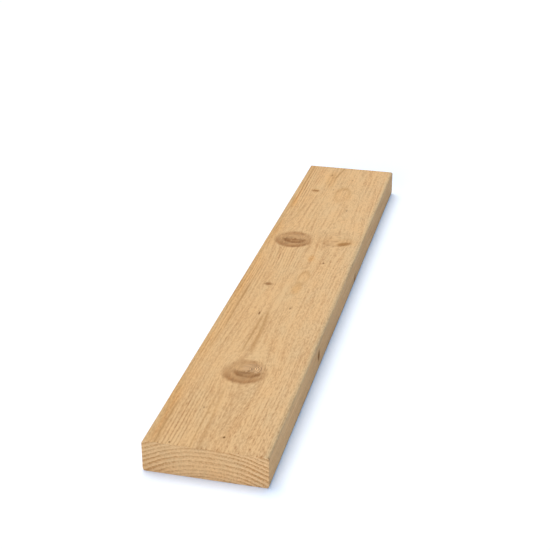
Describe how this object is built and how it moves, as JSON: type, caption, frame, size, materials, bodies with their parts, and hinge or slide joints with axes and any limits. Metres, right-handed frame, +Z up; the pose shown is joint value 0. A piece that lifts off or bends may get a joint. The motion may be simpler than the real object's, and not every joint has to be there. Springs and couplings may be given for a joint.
{
  "type": "timber plank",
  "caption": "Solid softwood plank of rectangular section with rounded long edges and square-sawn ends, a length of framing timber for general building work.",
  "frame": {"origin": "centre of the lower wide face, on the surface that the plank lies on", "axes": "+Y along the grain, away from the end seen in the picture; +X across the width; +Z up through the thickness"},
  "size_m": [0.14, 0.85, 0.038],
  "materials": {
    "softwood": "planed and unfinished, with visible growth rings and knots"
  },
  "bodies": {
    "root": {"plank": "softwood"}
  },
  "joints": []
}
